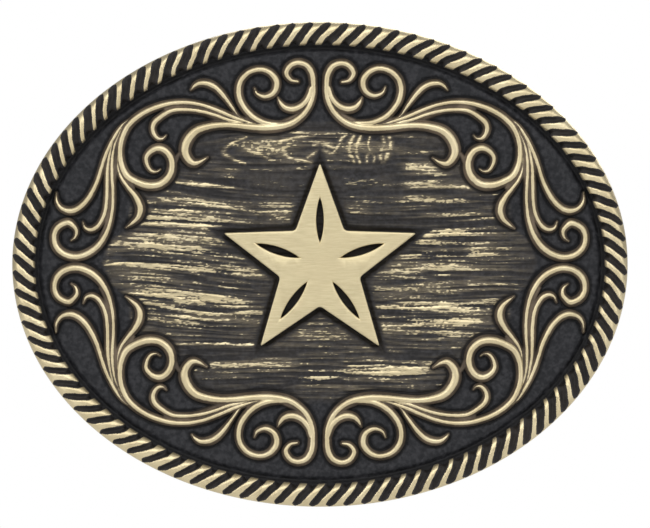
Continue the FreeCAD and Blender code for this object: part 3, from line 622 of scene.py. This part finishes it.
def cast_back():
    """The plate's back and edge: the CAD casting with its front drawn in under the carved face and rope."""
    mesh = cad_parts["buckle_plate"].data.copy()
    mesh.materials.clear()
    co = read(mesh.vertices, "co", 3).astype(float) / MM
    height = height_over_back(co)
    height = np.where(height > CAST_KEPT, CAST_KEPT + (height - CAST_KEPT) * CAST_FLOW, height)
    mesh.vertices.foreach_set("co", bowed(co[:, 0], co[:, 2], height).astype(np.float32).ravel())
    rough = put("rough_casting", mesh)
    shell = rough.modifiers.new("sand_casting", "REMESH")
    shell.mode = "VOXEL"
    shell.voxel_size = CAST_VOXEL
    shell.use_smooth_shade = True
    relax = rough.modifiers.new("soft_edges", "SMOOTH")
    relax.factor = 0.5
    relax.iterations = 2
    cast = as_mesh(rough)
    cast.name = "cast_back"
    co = read(cast.vertices, "co", 3).astype(float) / MM
    normal = read(cast.vertices, "normal", 3).astype(float)
    sand = (0.030 * soft_noise(co[:, 0] / 0.9 + 60, co[:, 2] / 0.9 + 60, 51)
            + 0.020 * soft_noise(co[:, 0] / 2.7 + 60, co[:, 2] / 2.7 + 60, 52) - 0.03)
    co += normal * (sand * ramp(0.2, 0.6, normal[:, 1]))[:, None]
    cast.vertices.foreach_set("co", (co * MM).astype(np.float32).ravel())
    cast.update()
    oval = np.hypot(co[:, 0] / HALF_WIDTH, co[:, 2] / HALF_HEIGHT)
    steep = 1 - ramp(0.80, 0.985, np.abs(normal[:, 1]))
    add_mask(cast, "worn_edge", np.clip(ramp(0.962, 0.99, oval) + 0.8 * steep, 0, 1))
    # painted shade: the back is made darker round the hinge leaf and the hook's base, where they stand on it
    fitting_shade = np.zeros(len(co))
    for low, high in (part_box("hinge_leaf"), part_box("hook_base")):
        dx = np.maximum(np.maximum(low.x / MM - co[:, 0], co[:, 0] - high.x / MM), 0)
        dz = np.maximum(np.maximum(low.z / MM - co[:, 2], co[:, 2] - high.z / MM), 0)
        fitting_shade = np.maximum(fitting_shade, np.exp(-(np.hypot(dx, dz) / FITTING_SHADE_REACH) ** 2))
    add_mask(cast, "fitting_shade", fitting_shade)
    # a plain map from behind; the edge's wall spreads outwards, and the hidden front takes a corner
    spread = 1 + 0.03 * np.clip(height_over_back(co), 0, 3)
    place = 0.5 + MAP_SHARE * co[:, [0, 2]] * spread[:, None] / (HALF_WIDTH, HALF_HEIGHT)
    uv = place[read(cast.loops, "vertex_index", 1, np.int32)[:, 0]]
    facing = read(cast.polygons, "normal", 3)[:, 1]
    hidden = np.repeat(facing < -0.35, read(cast.polygons, "loop_total", 1, np.int32)[:, 0])
    uv[hidden] = 0.005 + 0.03 * uv[hidden]
    add_map(cast, uv)
    return placed_piece("cast_back", cast, cast_finish())


def turned(profile, foot, axis, sides=40):
    """Points and faces of a turned shape: profile gives radius and height along the axis from its foot."""
    axis = Vector(axis).normalized()
    across = axis.orthogonal().normalized()
    up = axis.cross(across)
    verts, faces = [], []
    for radius, rise in profile:
        for k in range(sides):
            turn = 2 * math.pi * k / sides
            outward = across * math.cos(turn) + up * math.sin(turn)
            verts.append(Vector(foot) + axis * rise + outward * radius)
    rings = len(profile)
    for r in range(rings - 1):
        for k in range(sides):
            a, b = r * sides + k, r * sides + (k + 1) % sides
            faces.append((a, b, b + sides, a + sides))
    faces.append(tuple(range(sides - 1, -1, -1)))
    faces.append(tuple((rings - 1) * sides + k for k in range(sides)))
    return verts, faces


def emblem_studs():
    """The two studs behind the star, their ends hammered over the washers."""
    washer_low, washer_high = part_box("emblem_washers")
    star_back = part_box("emblem_star")[1].y / MM
    out = washer_high.x / MM - WASHER_RADIUS
    up = (washer_high.z + washer_low.z) / 2 / MM
    verts, faces = [], []
    for side in (-1, 1):
        lean = math.asin(side * out / BOW_RADIUS)
        foot = Vector((side * out, BOW_RADIUS * (1 - math.cos(lean)), up))
        axis = Vector((-math.sin(lean), math.cos(lean), 0))
        top = (star_back - foot.y) / math.cos(lean)
        profile = [(0.88, -1.0), (0.88, 0.30), (1.02, top - 0.34), (1.04, top - 0.22), (0.98, top - 0.10),
                   (0.80, top - 0.03), (0.5, top - 0.005), (0.2, top)]
        more_verts, more_faces = turned(profile, foot, axis)
        start = len(verts)
        verts += [v * MM for v in more_verts]
        faces += [tuple(i + start for i in face) for face in more_faces]
    mesh = bpy.data.meshes.new("emblem_studs")
    mesh.from_pydata(verts, [], faces)
    mesh.shade_smooth()
    mesh.set_sharp_from_angle(angle=math.radians(50))
    finish = dull_brass("hammered_brass", 300, 0.1, 0.4)
    return placed_piece("emblem_studs", mesh, finish)


def star_outline(reach):
    """The star's outline, its corners cut a little round: points in order."""
    raw = []
    for k in range(10):
        angle = math.pi / 2 + k * math.pi / 5
        r = reach if k % 2 == 0 else STAR_WAIST
        raw.append(Vector((r * math.cos(angle), r * math.sin(angle))))
    points = []
    for k, here in enumerate(raw):
        before, after = raw[k - 1], raw[(k + 1) % len(raw)]
        a = here + (before - here).normalized() * STAR_CORNER
        c = here + (after - here).normalized() * STAR_CORNER
        for t in np.linspace(0, 1, 5):
            points.append(a * (1 - t) ** 2 + here * 2 * t * (1 - t) + c * t * t)
    return points


def slit_outline(angle):
    """A lens-shaped slit along an arm of the star."""
    half = SLIT_WIDTH / 2
    points = []
    for t in np.linspace(0, 1, 13):
        points.append((SLIT_START + SLIT_LENGTH * t, half * math.sin(math.pi * t) ** 0.8))
    for t in np.linspace(1, 0, 13)[1:-1]:
        points.append((SLIT_START + SLIT_LENGTH * t, -half * math.sin(math.pi * t) ** 0.8))
    c, s = math.cos(angle), math.sin(angle)
    return [Vector((u * c - v * s, u * s + v * c)) for u, v in points]


def star_emblem():
    """The raised star: a bevelled plate cut right through by five slits, bent to the bow."""
    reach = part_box("emblem_star")[1].z / MM
    curve = bpy.data.curves.new("star_outline", "CURVE")
    curve.dimensions = "2D"
    curve.fill_mode = "BOTH"
    slits = [slit_outline(math.pi / 2 + k * 2 * math.pi / 5) for k in range(5)]
    for loop in [star_outline(reach + STAR_OVERHANG)] + slits:
        spline = curve.splines.new("POLY")
        spline.points.add(len(loop) - 1)
        for point, place in zip(spline.points, loop):
            point.co = (place.x, place.y, 0, 1)
        spline.use_cyclic_u = True
    curve.extrude = STAR_HALF - STAR_BEVEL
    curve.bevel_depth = STAR_BEVEL
    curve.bevel_resolution = 2
    curve.offset = -STAR_BEVEL
    mesh = as_mesh(put("star_shape", curve))
    bm = bmesh.new()
    bm.from_mesh(mesh)
    bmesh.ops.remove_doubles(bm, verts=bm.verts, dist=1e-4)
    for x in np.arange(-15, 15.1, 1.0):
        bmesh.ops.bisect_plane(bm, geom=bm.verts[:] + bm.edges[:] + bm.faces[:], plane_co=(x, 0, 0),
                               plane_no=(1, 0, 0))
    for v in bm.verts:
        x, z, height = v.co.x, v.co.y, STAR_TOP - STAR_HALF + v.co.z
        y = BOW_RADIUS - math.sqrt((BOW_RADIUS + height) ** 2 - x * x)
        v.co = Vector((x, y, z)) * MM
    bmesh.ops.recalc_face_normals(bm, faces=bm.faces)
    bm.to_mesh(mesh)
    bm.free()
    mesh.name = "star_emblem"
    mesh.shade_smooth()
    mesh.set_sharp_from_angle(angle=math.radians(32))
    return placed_piece("star_emblem", mesh, brushed_finish())


# ---------- materials

# each pair of colours is the darker and the lighter of one metal or coating
BLACKENED = (0.010, 0.0105, 0.0125, 1), (0.028, 0.028, 0.031, 1)
BROWNED = (0.075, 0.056, 0.038, 1), (0.17, 0.128, 0.085, 1)
RUBBED_BRASS = (0.60, 0.50, 0.30, 1), (0.735, 0.63, 0.40, 1)
WARM_BRASS = (0.30, 0.215, 0.105, 1), (0.50, 0.385, 0.215, 1)
DULLED_BRASS = (0.11, 0.078, 0.042, 1), (0.23, 0.168, 0.094, 1)
PALE_BRASS = (0.60, 0.505, 0.298, 1), (0.735, 0.64, 0.402, 1)
STEEL = (0.33, 0.33, 0.34, 1), (0.52, 0.52, 0.53, 1)
FLOOR_GREY = (0.86, 0.86, 0.86, 1), (0.88, 0.88, 0.88, 1)
DEEP_BLACK = (0.0035, 0.0032, 0.0035, 1)
BRASS_SPOTS = (0.07, 0.05, 0.028, 1)
BRASS_CLOUD = (0.66, 0.55, 0.33, 1)
# painted shade round the hinge leaf and the hook's base on the back
PAINTED_SHADE_BROWN = (0.020, 0.016, 0.012, 1)


class Nodes:
    """Short ways to place and join the nodes of one material or group."""

    def __init__(self, tree):
        self.tree = tree

    def add(self, kind, **values):
        node = self.tree.nodes.new(kind)
        for key, value in values.items():
            setattr(node, key, value)
        return node

    def give(self, socket, value):
        """A number or a colour becomes the socket's constant, and anything else is linked to it."""
        if isinstance(value, (int, float, tuple)):
            socket.default_value = value
        else:
            self.tree.links.new(value, socket)

    def fill(self, node, **inputs):
        """Gives a node's inputs by name, with an underscore for each space."""
        for name, value in inputs.items():
            self.give(node.inputs[name.replace("_", " ")], value)
        return node

    def maths(self, operation, a, b):
        node = self.add("ShaderNodeMath", operation=operation)
        self.give(node.inputs[0], a)
        self.give(node.inputs[1], b)
        return node.outputs[0]

    def group(self, tree, **inputs):
        """Places a shared group with its own values, and gives what it puts out."""
        return self.fill(self.add("ShaderNodeGroup", node_tree=tree), **inputs).outputs

    def mask(self, name):
        return self.add("ShaderNodeAttribute", attribute_name=name).outputs["Fac"]

    def noise(self, scale, detail=3.0, stretch=(1, 1, 1), roughness=0.55):
        place = self.add("ShaderNodeTexCoord").outputs["Object"]
        mapping = self.fill(self.add("ShaderNodeMapping"), Vector=place, Scale=stretch)
        return self.fill(self.add("ShaderNodeTexNoise"), Scale=scale, Detail=detail, Roughness=roughness,
                         Vector=mapping.outputs[0]).outputs[0]

    def span(self, value, low, high, to_low=0.0, to_high=1.0):
        node = self.add("ShaderNodeMapRange", interpolation_type="SMOOTHSTEP")
        return self.fill(node, Value=value, From_Min=low, From_Max=high, To_Min=to_low,
                         To_Max=to_high).outputs[0]

    def mix(self, factor, a, b):
        node = self.add("ShaderNodeMix", data_type="RGBA")
        for socket, value in ((0, factor), (6, a), (7, b)):
            self.give(node.inputs[socket], value)
        return node.outputs[2]

    def bump(self, height, strength, distance):
        return self.fill(self.add("ShaderNodeBump"), Height=height, Strength=strength,
                         Distance=distance).outputs[0]


def material(name):
    """A new material, its nodes, and its shader."""
    made = bpy.data.materials.new(name)
    made.use_nodes = True
    return made, Nodes(made.node_tree), made.node_tree.nodes["Principled BSDF"]


def new_group(name, inputs, outputs):
    """A node group with those sockets: its nodes, what it is given, and its output node."""
    n = Nodes(bpy.data.node_groups.new(name, "ShaderNodeTree"))
    for socket in inputs:
        n.tree.interface.new_socket(socket, in_out="INPUT", socket_type="NodeSocketFloat")
    for socket in outputs:
        kind = "NodeSocketColor" if socket == "Colour" else "NodeSocketFloat"
        n.tree.interface.new_socket(socket, in_out="OUTPUT", socket_type=kind)
    return n, n.add("NodeGroupInput").outputs, n.add("NodeGroupOutput")


def frayed_group():
    """Ragged wear: a mask with a noise added to it, so that its edge isn't clean."""
    n, given, out = new_group("frayed_wear", ("Mask", "Noise", "Amount"), ("Mask",))
    ragged = n.maths("MULTIPLY", n.maths("SUBTRACT", given["Noise"], 0.5), given["Amount"])
    n.fill(out, Mask=n.maths("ADD", given["Mask"], ragged))
    return n.tree


def patina_group():
    """The antique finish: how brass goes from rubbed crest through brown to blackened hollow."""
    n, given, out = new_group("antique_patina", ("Rubbed", "Brown", "Hollow"),
                              ("Colour", "Roughness", "Metal"))
    scuff = n.noise(260)
    dark = n.mix(given["Hollow"], n.mix(n.span(n.noise(1300, 4), 0.38, 0.66), *BLACKENED), DEEP_BLACK)
    brown = n.mix(n.span(scuff, 0.35, 0.7), *BROWNED)
    brass = n.mix(n.span(scuff, 0.3, 0.75), *RUBBED_BRASS)
    n.fill(out, Colour=n.mix(given["Rubbed"], n.mix(given["Brown"], dark, brown), brass),
           Roughness=n.span(given["Rubbed"], 0.0, 1.0, 0.62, 0.38),
           Metal=n.span(given["Rubbed"], 0.1, 0.9, 0.25, 0.85))
    return n.tree


def brass_group():
    """Worn brass without black in its hollows: colour, roughness and the small dents of its surface."""
    n, given, out = new_group("worn_brass", ("Scale", "Dullness"), ("Colour", "Roughness", "Dents"))
    cloud = n.fill(n.add("ShaderNodeTexNoise"), Vector=n.add("ShaderNodeTexCoord").outputs["Object"],
                   Scale=given["Scale"], Detail=5).outputs[0]
    spots = n.noise(2600, 2)
    colour = n.mix(given["Dullness"], n.mix(cloud, *WARM_BRASS), n.mix(cloud, *DULLED_BRASS))
    n.fill(out, Colour=n.mix(n.span(spots, 0.5, 0.75, 0, 0.6), colour, BRASS_SPOTS),
           Roughness=n.span(cloud, 0.3, 0.7, 0.34, 0.52),
           Dents=n.maths("ADD", spots, n.maths("MULTIPLY", cloud, 0.6)))
    return n.tree


FRAYED = frayed_group()
PATINA = patina_group()
WORN = brass_group()


def patina_finish(made, n, shader, masks, grain):
    """Lays the antique finish on a material by its three masks, with the cast grain as a bump."""
    patina = n.group(PATINA, **masks)
    n.fill(shader, Base_Color=patina["Colour"], Roughness=patina["Roughness"], Metallic=patina["Metal"],
           Normal=n.bump(*grain), Specular_IOR_Level=0.35)
    return made


def carved_finish():
    """Antique brass of the carved face: bright crests and rubbed grain over a blackened ground."""
    made, n, shader = material("antique_brass_carved")
    rub, haze = n.mask("rub"), n.mask("haze")
    line = n.group(FRAYED, Mask=n.mask("shine"), Noise=n.noise(1500), Amount=0.9)["Mask"]
    threads = n.noise(1700, 2, (0.32, 1, 3.0), 0.8)
    grain = n.group(FRAYED, Mask=rub, Noise=threads, Amount=3.6)["Mask"]
    grain = n.maths("MULTIPLY", n.span(grain, 0.15, 0.98), n.span(rub, 0.04, 0.5))
    worn = n.maths("MULTIPLY", haze, n.span(threads, 0.35, 0.65, 0.12, 0.5))
    brown = n.maths("MAXIMUM", n.span(n.mask("crest"), 0.03, 0.26), n.maths("MULTIPLY", n.mask("web"), 0.9))
    warm = n.maths("ADD", n.maths("MULTIPLY", haze, 0.8), n.maths("MULTIPLY", n.mask("inside"), 0.07))
    # the hollow mask also carries the painted shadow round and under the star
    hollow = n.maths("MAXIMUM", n.mask("hollow"), n.span(n.mask("foot"), 0.1, 0.75))
    masks = dict(Rubbed=n.maths("MAXIMUM", n.span(line, 0.25, 0.80), n.maths("MAXIMUM", grain, worn)),
                 Brown=n.maths("MAXIMUM", brown, warm),
                 Hollow=n.maths("MAXIMUM", hollow, n.maths("MULTIPLY", n.mask("dark"), 0.55)))
    return patina_finish(made, n, shader, masks, (n.noise(2400, 2), 0.35, 0.00006))


def rope_finish():
    """Antique brass of the rope: cream strands, black grooves."""
    made, n, shader = material("antique_brass_rope")
    edge = n.group(FRAYED, Mask=n.mask("crest"), Noise=n.noise(1300), Amount=0.55)["Mask"]
    masks = dict(Rubbed=n.span(edge, 0.42, 0.72), Brown=n.span(edge, 0.2, 0.6, 0.10, 0.6),
                 Hollow=n.span(n.mask("groove"), 0.1, 0.6, 0, 0.85))
    return patina_finish(made, n, shader, masks, (n.noise(2000, 2), 0.3, 0.00005))


def brushed_finish():
    """The star's face: pale brass brushed from side to side."""
    made, n, shader = material("brushed_pale_brass")
    brush = n.noise(420, 4, (1, 14, 14), 0.7)
    colour = n.mix(n.span(brush, 0.25, 0.75), *PALE_BRASS)
    n.fill(shader, Base_Color=n.mix(n.span(n.noise(90), 0.35, 0.7, 0, 0.35), colour, BRASS_CLOUD),
           Roughness=n.span(brush, 0.2, 0.8, 0.34, 0.46), Metallic=0.9, Normal=n.bump(brush, 0.25, 0.00004))
    return made


def dull_brass(name, scale, dullness, dents):
    """Sheet, rod and cast brass of the back."""
    made, n, shader = material(name)
    worn = n.group(WORN, Scale=scale, Dullness=dullness)
    n.fill(shader, Base_Color=worn["Colour"], Roughness=worn["Roughness"], Metallic=0.92,
           Normal=n.bump(worn["Dents"], dents, 0.00012))
    return made


def cast_finish():
    """The back of the casting: sand-cast brass gone brown, rubbed bright along its edges, with painted shade
    round the hinge leaf and the hook's base.
    """
    made, n, shader = material("antique_brass_cast")
    worn = n.group(WORN, Scale=130, Dullness=0.75)
    bright = n.group(WORN, Scale=260, Dullness=0.0)["Colour"]
    scuffs = n.noise(500, 4, (1, 1, 0.5), 0.7)
    rubbed = n.group(FRAYED, Mask=n.mask("worn_edge"), Noise=scuffs, Amount=0.9)["Mask"]
    colour = n.mix(n.span(n.noise(55), 0.38, 0.66, 0.0, 0.45), worn["Colour"], bright)
    # painted shade darkens the back round the hinge leaf and the hook's base
    colour = n.mix(n.span(n.mask("fitting_shade"), 0.05, 0.9, 0.0, 0.72), colour, PAINTED_SHADE_BROWN)
    n.fill(shader, Base_Color=n.mix(n.span(rubbed, 0.42, 0.85), colour, bright),
           Roughness=n.span(rubbed, 0.3, 0.9, 0.55, 0.36), Metallic=0.85,
           Normal=n.bump(worn["Dents"], 0.6, 0.0001))
    return made


def steel_finish():
    """Plain steel of the washers and the hinge pin."""
    made, n, shader = material("plain_steel")
    cloud = n.noise(500, 4)
    n.fill(shader, Base_Color=n.mix(cloud, *STEEL), Roughness=n.span(cloud, 0.3, 0.7, 0.28, 0.42),
           Metallic=1.0, Normal=n.bump(n.noise(3000, 2), 0.2, 0.00005))
    return made


def floor_finish():
    """A pale floor that looks evenly lit to its edge, and throws no more light on the buckle for it."""
    made, n, shader = material("pale_floor")
    n.fill(shader, Base_Color=n.mix(n.noise(3, 2), *FLOOR_GREY), Roughness=0.8)
    seen = n.maths("MULTIPLY", n.add("ShaderNodeLightPath").outputs["Is Camera Ray"], 0.52)
    glow = n.fill(n.add("ShaderNodeEmission"), Color=(0.97, 0.97, 0.97, 1), Strength=seen)
    both = n.add("ShaderNodeAddShader")
    n.give(both.inputs[0], shader.outputs[0])
    n.give(both.inputs[1], glow.outputs[0])
    n.fill(made.node_tree.nodes["Material Output"], Surface=both.outputs[0])
    return made


# ---------- building

def from_star():
    """Rough distance outside the star's outline, negative inside it."""
    angle = np.arctan2(Z, X) - math.pi / 2
    fold = np.abs((angle + math.pi / 5) % (2 * math.pi / 5) - math.pi / 5)
    r = np.hypot(X, Z)
    waist_x, waist_z = STAR_WAIST * math.cos(math.pi / 5), STAR_WAIST * math.sin(math.pi / 5)
    side = math.hypot(STAR_TIP - waist_x, waist_z)
    return (r * np.cos(fold) * waist_z + r * np.sin(fold) * (STAR_TIP - waist_x) - STAR_TIP * waist_z) / side


face_height, face_masks = carve_face()
sunk = blurred(face_height, HOLLOW_REACH / CELL) - face_height
hollow = 0.75 * ramp(0.10, 0.34, sunk) * (1 - 0.95 * ramp(0.1, 0.5, face_masks["web"]))
# a dark line of painted shadow lies round the emblem's foot and blackens the ground seen through its slits,
# and the face stops dark at the rope's
out_of_star = from_star()
rope_foot = ramp(-0.8, -0.5, outside_oval(RIM_WIDTH) + 0.25 * soft_noise(X / 1.1, Z / 1.1, 61))
face_masks["hollow"] = np.maximum(np.maximum(hollow, ramp(1.3, 0.35, out_of_star)), rope_foot)
# also part of the painted shadow: the rubbed grain and its brown are taken away round the star
for mask in ("rub", "haze"):
    face_masks[mask] = face_masks[mask] * (1 - ramp(1.6, 0.9, out_of_star))
face_height -= 0.3 * ramp(0.9, 0.3, out_of_star)

for quarter in carved_quarters(face_height, face_masks):
    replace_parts(quarter, "buckle_plate")
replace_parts(rope_rim(), "buckle_plate")
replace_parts(cast_back(), "buckle_plate")
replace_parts(emblem_studs(), "emblem_star")
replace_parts(star_emblem(), "emblem_star")

sheet_brass = dull_brass("back_brass_sheet", 120, 0.15, 0.2)
rod_brass = dull_brass("back_brass_rod", 200, 0.1, 0.15)
steel = steel_finish()
for node, finish in (("hinge_leaf", sheet_brass), ("leaf_rivets", rod_brass), ("belt_loop", rod_brass),
                     ("hook_base", sheet_brass), ("base_rivets", rod_brass), ("strap_hook", rod_brass),
                     ("emblem_washers", steel), ("hinge_pin", steel)):
    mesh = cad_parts[node].data
    mesh.materials.clear()
    mesh.materials.append(finish)

# ---------- stage, light and camera

CAMERA_DISTANCE = 1.6
VIEW_WIDTH = 0.10125
VIEW_RIGHT, VIEW_UP = 0.000787, 0.00005  # of the view's middle, from the oval's
SENSOR_WIDTH = 36.0

bpy.ops.mesh.primitive_circle_add(vertices=96, radius=2.9, fill_type="NGON", location=(0, 0, -0.12))
floor = bpy.context.object
floor.name = "pale_floor"
floor.data.materials.append(floor_finish())


def soft_light(name, place, size, power):
    """A softbox that faces the buckle."""
    data = bpy.data.lights.new(name, "AREA")
    data.shape = "RECTANGLE"
    data.size, data.size_y = size
    data.energy = power
    lamp = put(name, data)
    lamp.location = place
    lamp.rotation_euler = (-Vector(place)).to_track_quat("-Z", "Y").to_euler()


soft_light("front_softbox", (0.0, -0.85, 0.55), (1.2, 0.8), 6.2)
soft_light("left_softbox", (-0.8, -0.5, 0.2), (0.5, 0.9), 2.4)
soft_light("right_softbox", (0.8, -0.5, 0.2), (0.5, 0.9), 2.0)
soft_light("back_softbox", (0.3, 0.9, 0.6), (1.0, 0.8), 7.0)

# the world lights the buckle softly, and is white where it is seen
world = bpy.data.worlds.new("pale_studio")
bpy.context.scene.world = world
world.use_nodes = True
w = Nodes(world.node_tree)
lit = w.fill(w.add("ShaderNodeBackground"), Color=(0.93, 0.95, 1.0, 1), Strength=0.38)
white = w.fill(world.node_tree.nodes["Background"], Color=(1, 1, 1, 1), Strength=1.0)
blend = w.add("ShaderNodeMixShader")
seen = w.add("ShaderNodeLightPath").outputs["Is Camera Ray"]
for socket, value in zip(blend.inputs, (seen, lit.outputs[0], white.outputs[0])):
    w.give(socket, value)
w.fill(world.node_tree.nodes["World Output"], Surface=blend.outputs[0])

camera_data = bpy.data.cameras.new("camera")
camera = put("camera", camera_data)
camera.location = (VIEW_RIGHT, -CAMERA_DISTANCE, VIEW_UP)
camera.rotation_euler = (math.radians(90), 0, 0)
camera_data.sensor_width = SENSOR_WIDTH
camera_data.lens = SENSOR_WIDTH * CAMERA_DISTANCE / VIEW_WIDTH
camera_data.clip_start = 0.01
camera_data.clip_end = 20.0
bpy.context.scene.camera = camera
bpy.context.scene.view_settings.view_transform = "Standard"
